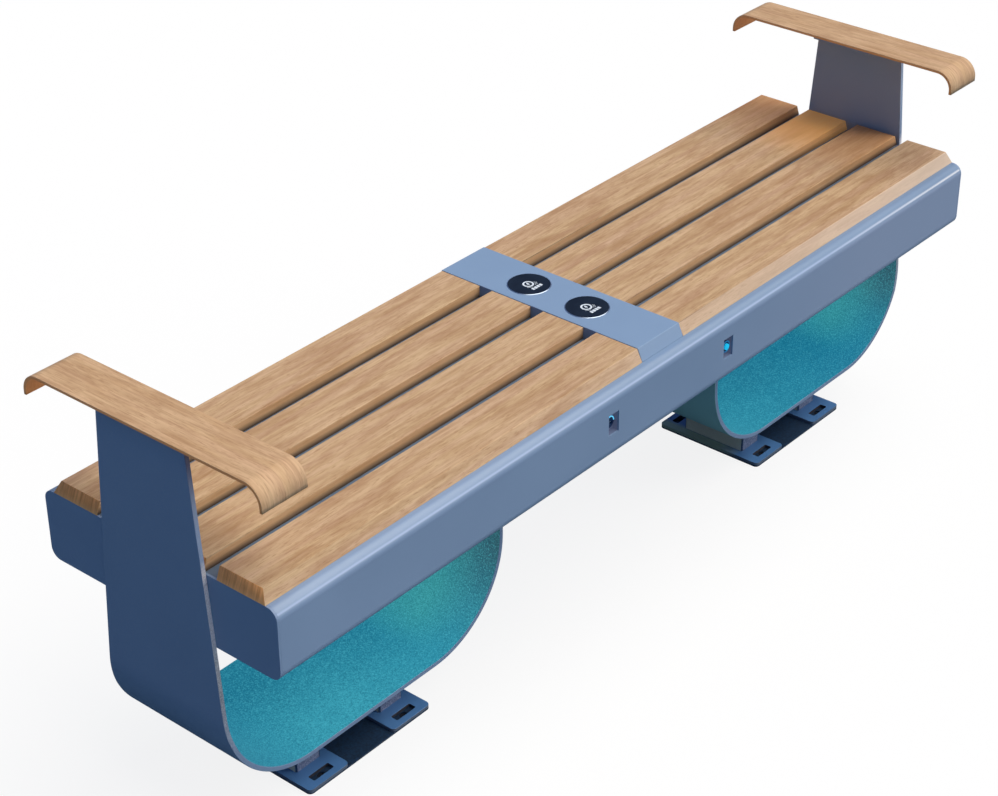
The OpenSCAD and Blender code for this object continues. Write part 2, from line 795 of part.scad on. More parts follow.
// Timber slat number i (0 at the front), right-hand side, with its screw pilots
module slat(name, i) {
    lean_front = i == 0 ? side_bevel : 0;
    lean_back = i == 3 ? side_bevel : 0;
    half = slat_w / 2;
    pilot_d = wood_screw_d + 2 * hole_fit;
    color(timber) side(name) translate([0, slat_y[i], case_top]) difference() {
        intersection() {
            translate([(slat_x0 + slat_x1) / 2, 0, 0]) along_x(slat_x1 - slat_x0) polygon([
                [-half - lean_front, 0], [half + lean_back, 0],
                [half, slat_t - arris], [half - arris, slat_t],
                [-half + arris, slat_t], [-half, slat_t - arris]
            ]);
            along_y(2 * slat_w) polygon([
                [slat_x0, -1], [slat_x1 + end_bevel / slat_t, -1], [slat_x1, 0],
                [slat_x1 - end_bevel, slat_t], [slat_x1 - end_bevel, slat_t + 1], [slat_x0, slat_t + 1]
            ]);
        }
        for (x = screw_x) translate([x, 0, -1]) cylinder(h = wood_screw_len + 2, d = pilot_d);
    }
}

// Screws that hold the slats, driven up through the top sheet
module slat_screws() {
    head_h = 3;
    color(zinc) slat_spots() {
        translate([0, 0, -sheet_t - head_h]) cylinder(h = head_h, d = 2 * wood_screw_d);
        translate([0, 0, -sheet_t]) cylinder(h = sheet_t + wood_screw_len, d = wood_screw_d);
    }
}

// Bolts of the inner flanges and studs with nuts at the end plates
module leg_bolts() {
    head_h = 0.6 * bolt_d;
    nut_h = 0.8 * bolt_d;
    tail = 1.4 * bolt_d;
    flats = 1.6 * bolt_d;
    grip = flange_t + sheet_t + rib_t;
    color(zinc) each_side() {
        flange_spots() translate([0, 0, case_z - flange_t]) {
            translate([0, 0, -head_h]) hex(flats, head_h);
            cylinder(h = grip + tail, d = bolt_d);
            translate([0, 0, grip]) hex(flats, nut_h);
        }
        stud_spots() translate([seat_len / 2 - end_t, 0, 0]) rotate([0, -90, 0]) {
            translate([0, 0, -end_t - fit]) cylinder(h = end_t + fit + tail, d = bolt_d);
            hex(flats, nut_h);
        }
    }
}

// Screws from the brackets up into the armrests
module arm_screws() {
    head_h = 2;
    color(zinc) each_side() arm_spots() {
        translate([0, 0, -head_h]) cylinder(h = head_h, d = 2 * arm_screw_d);
        cylinder(h = bracket_t + arm_screw_bite, d = arm_screw_d);
    }
}

// Small machine screws of the service cover and of the centre panel
module small_screws() {
    head_h = 0.5 * small_d;
    color(zinc) {
        cover_spots() translate([0, 0, case_z - cover_t]) {
            translate([0, 0, -head_h]) cylinder(h = head_h, d = 1.8 * small_d);
            cylinder(h = cover_t + sheet_t + small_d, d = small_d);
        }
        tab_spots() translate([0, 0, -sheet_t]) {
            translate([0, 0, -head_h]) cylinder(h = head_h, d = 1.8 * small_d);
            cylinder(h = sheet_t + panel_t + small_d, d = small_d);
        }
    }
}

seat_case();
end_plate("left");  // end_plate_left
end_plate("right");  // end_plate_right
rib("left");  // rib_left
rib("right");  // rib_right
service_cover();
centre_panel();
pad(-1);  // pad_front
pad(1);  // pad_rear
pad_ring(-1);  // pad_ring_front
pad_ring(1);  // pad_ring_rear
coil(-1);  // coil_front
coil(1);  // coil_rear
recess(-port_x);  // usb_recess
usb_body();
usb_light();
usb_tongue();
recess(port_x);  // button_recess
button_bezel();
button_light();
button_cap();
switch_body();
battery_pack();
charge_controller();
cable_gland();
cable_duct();
led_profile("left");  // led_profile_left
led_profile("right");  // led_profile_right
led_lens("left");  // led_lens_left
led_lens("right");  // led_lens_right
leg("left");  // leg_left
leg("right");  // leg_right
leg_flange("left");  // leg_flange_left
leg_flange("right");  // leg_flange_right
arm("left");  // arm_left
arm("right");  // arm_right
arm_bracket("left");  // arm_bracket_left
arm_bracket("right");  // arm_bracket_right
foot_plate(-leg_mid - foot_mid);  // foot_plate_left_outer
foot_plate(-leg_mid + foot_mid);  // foot_plate_left_inner
foot_plate(leg_mid - foot_mid);  // foot_plate_right_inner
foot_plate(leg_mid + foot_mid);  // foot_plate_right_outer
foot_riser(-leg_mid - foot_mid);  // foot_riser_left_outer
foot_riser(-leg_mid + foot_mid);  // foot_riser_left_inner
foot_riser(leg_mid - foot_mid);  // foot_riser_right_inner
foot_riser(leg_mid + foot_mid);  // foot_riser_right_outer
ground_mat("left");  // ground_mat_left
ground_mat("right");  // ground_mat_right
slat("left", 0);  // slat_left_1
slat("left", 1);  // slat_left_2
slat("left", 2);  // slat_left_3
slat("left", 3);  // slat_left_4
slat("right", 0);  // slat_right_1
slat("right", 1);  // slat_right_2
slat("right", 2);  // slat_right_3
slat("right", 3);  // slat_right_4
slat_screws();
leg_bolts();
arm_screws();
small_screws();
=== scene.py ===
"""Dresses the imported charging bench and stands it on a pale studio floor.

X runs along the seat, the front with the sockets faces -Y, Z is up, and everything is in metres.
"""
import json
import math

import bmesh
import bpy
from mathutils import Matrix, Vector


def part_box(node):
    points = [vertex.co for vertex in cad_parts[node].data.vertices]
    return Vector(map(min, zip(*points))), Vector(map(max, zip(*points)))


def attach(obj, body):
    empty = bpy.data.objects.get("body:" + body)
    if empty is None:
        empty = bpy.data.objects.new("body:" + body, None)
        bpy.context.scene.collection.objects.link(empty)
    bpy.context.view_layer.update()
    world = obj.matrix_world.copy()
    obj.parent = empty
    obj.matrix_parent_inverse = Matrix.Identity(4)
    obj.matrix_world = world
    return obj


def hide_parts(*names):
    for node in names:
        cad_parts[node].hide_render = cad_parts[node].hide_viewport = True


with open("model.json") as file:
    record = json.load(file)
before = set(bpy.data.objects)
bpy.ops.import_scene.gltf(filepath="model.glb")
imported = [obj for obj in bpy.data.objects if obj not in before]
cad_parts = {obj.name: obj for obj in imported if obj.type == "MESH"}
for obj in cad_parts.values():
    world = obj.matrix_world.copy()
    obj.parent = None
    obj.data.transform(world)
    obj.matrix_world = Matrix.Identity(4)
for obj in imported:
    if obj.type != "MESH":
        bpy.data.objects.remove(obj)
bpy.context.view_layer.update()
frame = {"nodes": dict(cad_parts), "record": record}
nodes = frame["nodes"]
NODE_SLOTS = {part["node"]: part["material_slot"] for part in frame["record"]["subparts"]}

MM = 0.001
SIDES = ("left", "right")
FOOT_ENDS = ("outer", "inner")
SLAT_ROWS = (1, 2, 3, 4)
# Underside and top of the seat box, and half the depth of the slats and panel on it
CASE_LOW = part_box("seat_case")[0].z
CASE_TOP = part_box("seat_case")[1].z
FIELD_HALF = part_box("centre_panel")[1].y


# Colours and shader nodes

def colour(code):
    """Linear RGBA of an sRGB hex value."""
    parts = [int(code[i:i + 2], 16) / 255 for i in (1, 3, 5)]
    linear = [c / 12.92 if c <= 0.04045 else ((c + 0.055) / 1.055) ** 2.4 for c in parts]
    return (*linear, 1.0)


def fill(tree, node, sockets):
    """Gives inputs of a node, by name or number, a link, an sRGB hex colour or a plain value."""
    for key, value in sockets.items():
        if isinstance(value, bpy.types.NodeSocket):
            tree.links.new(value, node.inputs[key])
        else:
            node.inputs[key].default_value = colour(value) if isinstance(value, str) else value


def add(tree, kind, sockets=None, **settings):
    """Adds a shader node: settings are its properties, sockets what its inputs are filled with."""
    node = tree.nodes.new("ShaderNode" + kind)
    for name, value in settings.items():
        setattr(node, name, value)
    fill(tree, node, sockets or {})
    return node


def level(tree, *limits):
    """The product of limits: numbers, sockets, and ranges that a value runs through.

    A range is (value, low, high) and gives 0 up to low and 1 from high on, or it ends in the two
    levels that it gives instead.
    """
    product = None
    for limit in limits:
        if isinstance(limit, tuple):
            value, low, high, at_low, at_high = (*limit, 0.0, 1.0)[:5]
            limit = add(tree, "MapRange", {
                "Value": value, "From Min": low, "From Max": high, "To Min": at_low, "To Max": at_high,
            }).outputs["Result"]
        if product is None:
            product = limit
        else:
            product = add(tree, "Math", {0: product, 1: limit}, operation="MULTIPLY").outputs[0]
    return product


def tint(tree, tone, over, *limits, how="MIX"):
    """Lays a colour over a tone, as strongly as the level of the limits says."""
    mixed = add(tree, "Mix", {0: level(tree, *limits), 6: tone, 7: over}, data_type="RGBA", blend_type=how)
    return mixed.outputs[2]


def pattern(tree, sizes, source=None, detail=3.0, roughness=0.5, distortion=0.0):
    """Cloudy pattern whose blobs have this size in millimetres, or these sizes along X, Y and Z."""
    if source is None:
        source = add(tree, "TexCoord").outputs["Object"]
    if not isinstance(sizes, tuple):
        sizes = (sizes,) * 3
    scale = [1 / (size * MM) for size in sizes]
    where = add(tree, "Mapping", {"Vector": source, "Scale": scale}).outputs["Vector"]
    return add(tree, "TexNoise", {
        "Vector": where, "Scale": 1.0, "Detail": detail, "Roughness": roughness,
        "Distortion": distortion,
    }).outputs["Fac"]


def place_and_facing(tree):
    """X, Y and Z of a point's place, and X, Y and Z of the direction that its surface faces."""
    place = add(tree, "TexCoord").outputs["Object"]
    facing = add(tree, "NewGeometry").outputs["Normal"]
    return [add(tree, "SeparateXYZ", {"Vector": source}).outputs for source in (place, facing)]


def new_material(name):
    """A material with its node tree and its Principled shader."""
    made = bpy.data.materials.new(name)
    made.use_nodes = True
    return made, made.node_tree, made.node_tree.nodes["Principled BSDF"]


# Materials

def powder_coat(name, base, deep, roughness=0.5, marks_and_painted_light=None, glow=None):
    """Matt polyester powder coat on folded steel: even colour, faint orange peel, soft sheen.

    The marks function changes the tone at some places, with real features and with painted light and
    shade. Glow is a dim painted light of its own.
    """
    made, tree, shader = new_material(name)
    cloudy = pattern(tree, 180, detail=4)
    tone = tint(tree, deep, base, (cloudy, 0.35, 0.65))
    if marks_and_painted_light:
        tone = marks_and_painted_light(tree, *place_and_facing(tree), tone)
    # Orange peel is about 1 mm across, drawn at 2.5 mm so that it shows
    peel = pattern(tree, 2.5, detail=2)
    relief = add(tree, "Bump", {"Height": peel, "Distance": 0.12 * MM, "Strength": 0.35})
    fill(tree, shader, {"Base Color": tone, "Roughness": roughness, "Normal": relief.outputs["Normal"]})
    # Glow is painted light
    if glow:
        fill(tree, shader, {"Emission Color": glow, "Emission Strength": 1.0})
    return made


def box_painted_light(tree, place, facing, tone):
    """Painted shade in the troughs between the slats, and a painted highlight line where the rim turns
    down.

    Towards the right end the painted highlight turns almost white, and painted light makes the rim's top
    bluer and the front greyer.
    """
    # Painted light: top faces turn bluer towards the right end
    upward = (facing["Z"], 0.6, 0.75)
    tone = tint(tree, tone, "#7891b1", upward, (place["X"], -500 * MM, 100 * MM))
    # Painted light: front faces turn greyer towards the right end
    sideways = add(tree, "Math", {0: facing["Y"]}, operation="ABSOLUTE").outputs[0]
    upright = (sideways, 0.9, 0.97)
    tone = tint(tree, tone, "#91a2c0", upright, (place["X"], 100 * MM, 600 * MM))
    # Painted highlight along the rim where it turns down
    line = tint(tree, "#9fb4d6", "#d6dce6", (place["X"], 450 * MM, 850 * MM))
    tone = tint(tree, tone, line, (facing["Z"], 0.42, 0.5), (facing["Z"], 0.56, 0.66, 1.0, 0.0))
    # Painted shade on the box top in the troughs between the slats
    from_middle = add(tree, "Math", {0: place["Y"]}, operation="ABSOLUTE").outputs[0]
    on_top = (place["Z"], CASE_TOP - 2 * MM, CASE_TOP - 1 * MM)
    in_field = (from_middle, FIELD_HALF - 4 * MM, FIELD_HALF, 1.0, 0.0)
    return tint(tree, tone, "#64768c", on_top, in_field)


def leg_speckle_and_painted_light(tree, place, facing, tone):
    """Fine light speckle, grey cut edges low on the outermost uprights painted much lighter where the
    box shades them, and painted light on left faces.

    Painted cyan light makes the right leg look greener low down, next to the lit left loop, and painted
    bounce light makes it warmer above the seat.
    """
    grit = pattern(tree, 2.4, detail=2, roughness=0.7)
    tone = tint(tree, tone, "#a9adb8", (grit, 0.45, 0.7, 0.0, 0.12))
    # The grey of the cut edges is painted lighter higher up, where the box shades them
    grey = tint(tree, "#a4a5ac", "#f0eaec", (place["Z"], 290 * MM, 400 * MM))
    grey = tint(tree, grey, "#ffffff", (grit, 0.5, 0.68, 0.0, 0.4))
    grey = tint(tree, grey, "#5c5c60", (grit, 0.32, 0.5, 0.35, 0.0))
    from_middle = add(tree, "Math", {0: place["X"]}, operation="ABSOLUTE").outputs[0]
    sideways = add(tree, "Math", {0: facing["Y"]}, operation="ABSOLUTE").outputs[0]
    outermost = (from_middle, 885 * MM, 895 * MM)
    cut_edge = (sideways, 0.6, 0.8)
    below_seat = (place["Z"], CASE_TOP, CASE_TOP + 25 * MM, 1.0, 0.0)
    above_bend = (place["Z"], 170 * MM, 300 * MM)
    tone = tint(tree, tone, grey, outermost, cut_edge, below_seat, above_bend)
    # Painted light on left faces: cyan light low on the right leg, and bounce light from the slats near
    # its outer upright
    left = (facing["X"], -0.6, -0.2, 1.0, 0.0)
    on_right_leg = (place["X"], 0.0, 100 * MM)
    inner_part = (place["X"], 330 * MM, 500 * MM, 1.0, 0.0)
    tone = tint(tree, tone, "#a6d2cc", left, on_right_leg, inner_part)
    return tint(tree, tone, "#a4b2be", left, (place["X"], 800 * MM, 880 * MM))


def foot_painted_light(tree, place, facing, tone):
    """Greyer upright sides with painted shade, and painted light on the shaded strip of the right leg's
    inner plate beside its riser.
    """
    # Painted shade: upright sides turn greyer
    up_or_down = add(tree, "Math", {0: facing["Z"]}, operation="ABSOLUTE").outputs[0]
    tone = tint(tree, tone, "#647184", (up_or_down, 0.3, 0.7, 1.0, 0.0))
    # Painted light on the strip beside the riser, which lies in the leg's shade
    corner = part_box("foot_riser_right_inner")[0]
    beside = (place["X"], corner.x - 4 * MM, corner.x + 8 * MM, 0.75, 0.0)
    on_right_leg = (place["X"], 0.0, 100 * MM)
    behind_corner = (place["Y"], corner.y, corner.y + 45 * MM)
    return tint(tree, tone, "#c6d09c", beside, on_right_leg, behind_corner)


def painted_cyan_light_coat(name):
    """The same coat inside a leg loop with the cyan light painted on as its own glow: a finely speckled
    teal.

    The painted light is brightest low at the front, goes grey green up the sides, deep blue low down
    towards +X and darker to the back, with a greener painted glow in the bend on the +X side of each
    loop. The left leg's outer end is bluer.
    """
    made, tree, shader = new_material(name)
    # The speckle is about 1 mm across, drawn at 2 mm so that it shows
    speckle = pattern(tree, 2, detail=1, roughness=0.6)
    pools = pattern(tree, 90, detail=2)
    place = place_and_facing(tree)[0]
    tone = "#39a5b9"
    climb = ((97, 126, "#3e98a4"), (126, 170, "#38757f"), (170, 226, "#345a63"), (226, 250, "#325359"))
    for low, high, code in climb:
        tone = tint(tree, tone, code, (place["Z"], low * MM, high * MM))
    low_down = (place["Z"], 98 * MM, 200 * MM, 1.0, 0.0)
    left_loop = level(tree, (place["X"], -620 * MM, -470 * MM, 0.0, 0.35))
    right_loop = level(tree, (place["X"], 430 * MM, 740 * MM, 0.1, 0.65))
    bluer = add(tree, "Math", {0: left_loop, 1: right_loop}, operation="ADD").outputs[0]
    tone = tint(tree, tone, "#007799", low_down, bluer)
    on_left_leg = (place["X"], -100 * MM, 100 * MM, 1.0, 0.0)
    left_bend = level(tree, (place["X"], -460 * MM, -390 * MM), on_left_leg)
    right_bend = level(tree, (place["X"], 770 * MM, 840 * MM))
    in_bend = add(tree, "Math", {0: left_bend, 1: right_bend}, operation="ADD").outputs[0]
    to_back = (place["Y"], -70 * MM, 60 * MM, 0.0, 0.75)
    less_in_bend = (in_bend, 0.0, 1.0, 1.0, 0.25)
    tone = tint(tree, tone, "#09708e", low_down, to_back, less_in_bend)
    off_front = (place["Y"], -100 * MM, -30 * MM, 0.0, 0.6)
    less_high_up = (place["Z"], 170 * MM, 300 * MM, 1.0, 0.2)
    tone = tint(tree, tone, "#3fa6a2", in_bend, off_front, less_high_up)
    outer_end = (place["X"], -840 * MM, -690 * MM, 0.6, 0.0)
    tone = tint(tree, tone, "#1a7a9c", outer_end)
    tone = tint(tree, tone, "#14718f", (pools, 0.4, 0.65, 0.0, 0.16))
    tone = tint(tree, tone, "#5fd0de", (speckle, 0.5, 0.72, 0.0, 0.45))
    tone = tint(tree, tone, "#0b5568", (speckle, 0.28, 0.5, 0.52, 0.0))
    relief = add(tree, "Bump", {"Height": speckle, "Distance": 0.15 * MM, "Strength": 0.4})
    # The whole teal tone is painted cyan light, given as the coat's emission
    fill(tree, shader, {
        "Base Color": "#063646", "Roughness": 0.6, "Normal": relief.outputs["Normal"],
        "Emission Color": tone, "Emission Strength": 0.82,
    })
    return made


def oiled_wood(name, light, mid, dark, blush, marks_and_painted_light, attribute=None):
    """Oiled hardwood: soft clouds and long faint streaks along the board, rosy bands, short fine flecks.

    The grain runs along X of the place, or of an attribute where one is named. The marks function
    changes the tone at some places, and gives it with painted bounce light that the wood gives off as a
    glow.
    """
    made, tree, shader = new_material(name)
    if attribute:
        source = add(tree, "Attribute", attribute_name=attribute).outputs["Vector"]
    else:
        source = add(tree, "TexCoord").outputs["Object"]
    cloud = pattern(tree, (170, 30, 30), source, detail=4, roughness=0.55, distortion=0.5)
    mottle = pattern(tree, (80, 10, 10), source, detail=4, roughness=0.6, distortion=0.4)
    band = pattern(tree, (500, 16, 16), source, distortion=0.3)
    streak = pattern(tree, (90, 3.2, 3.2), source, roughness=0.6)
    # Pores are 0.3 mm wide, drawn at 2 mm so that they show
    pore = pattern(tree, (16, 2, 2), source, detail=2, roughness=0.6)
    tone = tint(tree, mid, light, (cloud, 0.3, 0.5))
    tone = tint(tree, tone, blush, (band, 0.4, 0.7, 0.0, 0.55))
    tone = tint(tree, tone, dark, (mottle, 0.42, 0.66, 0.0, 0.45))
    tone = tint(tree, tone, dark, (streak, 0.4, 0.75, 0.0, 0.38))
    tone = tint(tree, tone, dark, (pore, 0.55, 0.72, 0.0, 0.55))
    tone, painted_bounce_glow = marks_and_painted_light(tree, source, tone)
    relief = add(tree, "Bump", {"Height": pore, "Distance": 0.2 * MM, "Strength": 0.25})
    # The emission is painted bounce light
    fill(tree, shader, {
        "Base Color": tone, "Emission Color": painted_bounce_glow, "Emission Strength": 1.0, "Specular IOR Level": 0.2,
        "Roughness": level(tree, (streak, 0.3, 0.7, 0.42, 0.54)), "Normal": relief.outputs["Normal"],
    })
    return made


def slat_grain_and_painted_light(tree, source, tone):
    """End grain with lines running down, lighter towards its foot, painted warmer and brighter on ends
    that face left and calmer on ends that face right; upright sides painted lighter and warmer, which go
    dark low in the gaps with painted shade.

    The right ends get painted warm shade where the upright shades them, with painted bounce light as
    a little glow of their own in the third row, and a painted sheen makes the front slope lighter
    towards the right.
    """
    place = add(tree, "SeparateXYZ", {"Vector": source}).outputs
    flat_normal = add(tree, "NewGeometry").outputs["True Normal"]
    facing = add(tree, "SeparateXYZ", {"Vector": flat_normal}).outputs
    # Painted warm shade on the right ends, where the upright shades them
    painted_shade_near_upright = (place["X"], 700 * MM, 850 * MM, 0.0, 0.5)
    behind_front = (place["Y"], -118 * MM, -105 * MM)
    tone = tint(tree, tone, "#e8a05c", painted_shade_near_upright, behind_front)
    # Painted bounce light on the right ends of the third row, partly given as a glow
    row_front = (place["Y"], 0.0, 12 * MM)
    row_back = (place["Y"], 98 * MM, 110 * MM, 1.0, 0.0)
    bounce = level(tree, row_front, row_back, (place["X"], 660 * MM, 830 * MM))
    tone = tint(tree, tone, "#ffb45a", bounce, bounce, 0.7)
    painted_bounce_glow = tint(tree, "#000000", "#63492c", bounce)
    # Painted sheen on the front slope, lighter towards the right
    sloping = (facing["Y"], -0.5, -0.3, 1.0, 0.0)
    in_front = (place["Y"], -FIELD_HALF + 20 * MM, -FIELD_HALF + 30 * MM, 1.0, 0.0)
    painted_sheen_to_right = (place["X"], -350 * MM, 850 * MM, 0.0, 0.68)
    tone = tint(tree, tone, "#e0cbb8", sloping, in_front, painted_sheen_to_right)
    # End grain, lighter towards its foot, painted warmer and brighter where it faces left and calmer where
    # it faces right
    lines = pattern(tree, (60, 3.5, 60), roughness=0.6)
    cut = tint(tree, "#c88a52", "#f2b070", (lines, 0.32, 0.64))
    cut = tint(tree, cut, "#ffc488", (place["Z"], CASE_TOP, CASE_TOP + 8 * MM, 0.45, 0.0))
    cut = tint(tree, cut, "#b8946c", (facing["X"], 0.4, 0.7, 0.0, 0.65))
    endways = add(tree, "Math", {0: facing["X"]}, operation="ABSOLUTE").outputs[0]
    tone = tint(tree, tone, cut, (endways, 0.6, 0.8))
    # Painted light: upright sides lighter and warmer, then painted shade low in the gaps
    sideways = add(tree, "Math", {0: facing["Y"]}, operation="ABSOLUTE").outputs[0]
    side = (sideways, 0.97, 0.995)
    tone = tint(tree, tone, "#f4be86", side, 0.45)
    painted_shade_low_in_gap = (place["Z"], CASE_TOP + 2 * MM, CASE_TOP + 12 * MM, 0.88, 0.0)
    return tint(tree, tone, "#2a3036", side, painted_shade_low_in_gap), painted_bounce_glow


def strip_painted_light(tree, source, tone):
    """Cut edges and underside painted a warmer brown, with dim painted light as if the slats below shone
    back.
    """
    outward = add(tree, "SeparateXYZ", {"Vector": source}).outputs["Z"]
    under = level(tree, (outward, -2.2 * MM, -1.4 * MM))
    return tint(tree, tone, "#f0a860", under, 0.6), tint(tree, "#000000", "#55321a", under)


def pale_metal(name, light, dark, roughness):
    """Bare pale metal: the faint crystal bloom of zinc plating, or the silky haze of anodising."""
    made, tree, shader = new_material(name)
    bloom = pattern(tree, 6)
    tone = tint(tree, dark, light, (bloom, 0.35, 0.65))
    fill(tree, shader, {"Base Color": tone, "Metallic": 1.0, "Roughness": roughness})
    return made


def galvanised(name):
    """Hot-dip galvanised steel gone dull: grey, speckled, almost matt, with painted light making left
    faces warmer and lighter.
    """
    made, tree, shader = new_material(name)
    grit = pattern(tree, 3, roughness=0.7)
    tone = tint(tree, "#66728c", "#7b88a4", (grit, 0.3, 0.5))
    tone = tint(tree, tone, "#a4aec4", (grit, 0.5, 0.66))
    facing = place_and_facing(tree)[1]
    # Painted light on faces that look left, which stand in shade
    tone = tint(tree, tone, "#ffeec4", (facing["X"], -0.35, -0.1, 0.85, 0.0))
    relief = add(tree, "Bump", {"Height": grit, "Distance": 0.2 * MM, "Strength": 0.4})
    fill(tree, shader, {
        "Base Color": tone, "Metallic": 0.25, "Roughness": 0.6, "Normal": relief.outputs["Normal"],
    })
    return made


def moulded_plastic(name, base, roughness):
    """Moulded plastic: even colour with the fine grain of a spark-eroded mould."""
    made, tree, shader = new_material(name)
    # The grain is about 0.1 mm across, drawn at 1.2 mm so that it shows
    grain = pattern(tree, 1.2, detail=2)
    tone = tint(tree, base, "#8a93a0", (grain, 0.3, 0.7, 0.0, 0.25), how="SOFT_LIGHT")
    relief = add(tree, "Bump", {"Height": grain, "Distance": 0.05 * MM, "Strength": 0.3})
    fill(tree, shader, {"Base Color": tone, "Roughness": roughness, "Normal": relief.outputs["Normal"]})
    return made


def rubber_dark_as_shade(name):
    """Dark sheet rubber for the mats under the legs, matt with a fine pebble, and dark enough to stand for
    the shade between the foot plates.
    """
    made, tree, shader = new_material(name)
    pebble = pattern(tree, 4)
    tone = tint(tree, "#06223a", "#0e3658", (pebble, 0.3, 0.7))
    relief = add(tree, "Bump", {"Height": pebble, "Distance": 0.3 * MM, "Strength": 0.5})
    fill(tree, shader, {"Base Color": tone, "Roughness": 0.7, "Normal": relief.outputs["Normal"]})
    return made


def lit_plastic(name, base, glow, strength):
    """Plastic with an even glow, a little brighter in clouds: translucent plastic with a lamp behind it,
    and on the port's tongue painted light.
    """
    made, tree, shader = new_material(name)
    clouds = pattern(tree, 8, detail=2)
    tone = tint(tree, base, glow, (clouds, 0.3, 0.7, 0.0, 0.4))
    fill(tree, shader, {
        "Base Color": tone, "Emission Color": tone, "Emission Strength": strength, "Roughness": 0.3,
    })
    return made


def pad_face(name):
    """Back-printed hard face of a charge pad: near black blue, smooth and slightly glossy."""
    made, tree, shader = new_material(name)
    haze = pattern(tree, 20)
    tone = tint(tree, "#0d1624", "#131e2e", (haze, 0.35, 0.65))
    fill(tree, shader, {
        "Base Color": tone, "Roughness": level(tree, (haze, 0.3, 0.7, 0.28, 0.38)),
        "Specular IOR Level": 0.3,
    })
    return made


# Blue grey powder coats: satin on the box and legs, bluer on the feet, darker with painted shade and a dim
# painted glow inside the sockets, and darker still with painted shade inside the foot plates' slots
BOX_COAT = powder_coat("powder_coat_box", "#859cbc", "#8198b8", 0.32, box_painted_light)
PANEL_COAT = powder_coat("powder_coat_panel", "#829cbd", "#7e98b9", 0.45)
LEG_COAT = powder_coat("powder_coat_leg", "#8299ba", "#7e95b6", 0.45, leg_speckle_and_painted_light)
DARK_COAT = powder_coat("powder_coat_end_plate", "#8299ba", "#7e95b6")
FOOT_COAT = powder_coat("powder_coat_foot", "#5586bc", "#507fb4", marks_and_painted_light=foot_painted_light)
# Painted shade and a dim painted glow inside the socket cups
CUP_SHADE_COAT = powder_coat("powder_coat_cup_with_painted_shade", "#5f6c88", "#586580", glow="#383d4e")
# Painted shade on the walls inside the foot plates' slots
SLOT_SHADE_COAT = powder_coat("powder_coat_painted_slot_shade", "#3c3c44", "#2c2e38", 0.6)
LIT_COAT = painted_cyan_light_coat("powder_coat_painted_cyan_light")

# Pale brown timber, lighter on the armrests
SLAT_WOOD = oiled_wood("oiled_hardwood_slat", "#cfb08a", "#b18d69", "#9a7048", "#cba78e", slat_grain_and_painted_light)
ARM_WOOD = oiled_wood("bent_ash_arm", "#d3b18b", "#c5a077", "#9a7250", "#d2aa8a", strip_painted_light, "grain")

# Metals: dull grey risers, pale screws and profiles, a bluish bright ring round each pad
GALVANISED = galvanised("dull_galvanised_steel")
ZINC = pale_metal("zinc_plate", "#c3c7cc", "#9a9fa6", 0.38)
ALUMINIUM = pale_metal("clear_anodised_aluminium", "#c6cacf", "#b4b9bf", 0.32)
TRIM = pale_metal("bright_anodised_ring", "#b4c2d6", "#a8b6ca", 0.3)

# Plastics and rubber, dark apart from the white pieces, the print and the lit pieces
BLACK_PLASTIC = moulded_plastic("black_moulded_plastic", "#141c28", 0.35)
NAVY_PLASTIC = moulded_plastic("navy_moulded_plastic", "#12305a", 0.3)
INNER_PLASTIC = moulded_plastic("dark_housing_plastic", "#20242c", 0.5)
WHITE_PLASTIC = moulded_plastic("white_moulded_plastic", "#e4e8ec", 0.45)
PRINT = moulded_plastic("white_print", "#dfe8f2", 0.4)
PAD_FACE = pad_face("printed_pad_face")
RUBBER = rubber_dark_as_shade("rubber_dark_as_shade")
# The port's tongue is no lamp: its glow is painted light from the port's ring
TONGUE_WITH_PAINTED_GLOW = lit_plastic("white_plastic_with_painted_glow", "#b8d8e4", "#e6f4f8", 0.8)
RING_LIGHT = lit_plastic("lit_ring_plastic", "#186094", "#2a86b0", 0.5)
USB_LIGHT = lit_plastic("lit_port_ring", "#49b4e2", "#9be6fa", 0.9)
BUTTON_LENS = lit_plastic("lit_button_plastic", "#0aa0cc", "#22c2e6", 0.75)
STRIP_LENS = lit_plastic("lit_opal_strip", "#7fe6ee", "#b8fbff", 2.5)

SLOT_MATERIALS = {
    "blue_paint": BOX_COAT, "dark_paint": DARK_COAT, "panel_paint": PANEL_COAT, "leg_paint": LEG_COAT,
    "foot_paint": FOOT_COAT, "galvanised": GALVANISED, "zinc_steel": ZINC, "zinc_fasteners": ZINC,
    "trim_aluminium": TRIM, "raw_aluminium": ALUMINIUM, "black_glass": PAD_FACE,
    "black_plastic": BLACK_PLASTIC, "inner_plastic": INNER_PLASTIC, "white_plastic": WHITE_PLASTIC,
    "cyan_light": RING_LIGHT, "button_lens": BUTTON_LENS, "opal_lens": STRIP_LENS,
    "slat_wood": SLAT_WOOD, "arm_wood": ARM_WOOD, "mat_rubber": RUBBER,
}
SOCKET_MATERIALS = {
    "usb_recess": CUP_SHADE_COAT, "button_recess": CUP_SHADE_COAT, "usb_body": NAVY_PLASTIC,
    "button_bezel": NAVY_PLASTIC, "usb_light": USB_LIGHT, "usb_tongue": TONGUE_WITH_PAINTED_GLOW,
}


def dress(target, finish):
    """Gives an object one finish all over."""
    target.data.materials.clear()
    target.data.materials.append(finish)


for name, node in nodes.items():
    dress(node, SOCKET_MATERIALS.get(name, SLOT_MATERIALS[NODE_SLOTS[name]]))


# Pieces

def link_new(name, data):
    """A new object in the scene."""
    made = bpy.data.objects.new(name, data)
    bpy.context.scene.collection.objects.link(made)
    return made


def mesh_from(shape, name, *finishes):
    """Turns an edited shape into a mesh with these finishes, and lets go of the shape."""
    mesh = bpy.data.meshes.new(name)
    for finish in finishes:
        mesh.materials.append(finish)
    shape.to_mesh(mesh)
    shape.free()
    return mesh


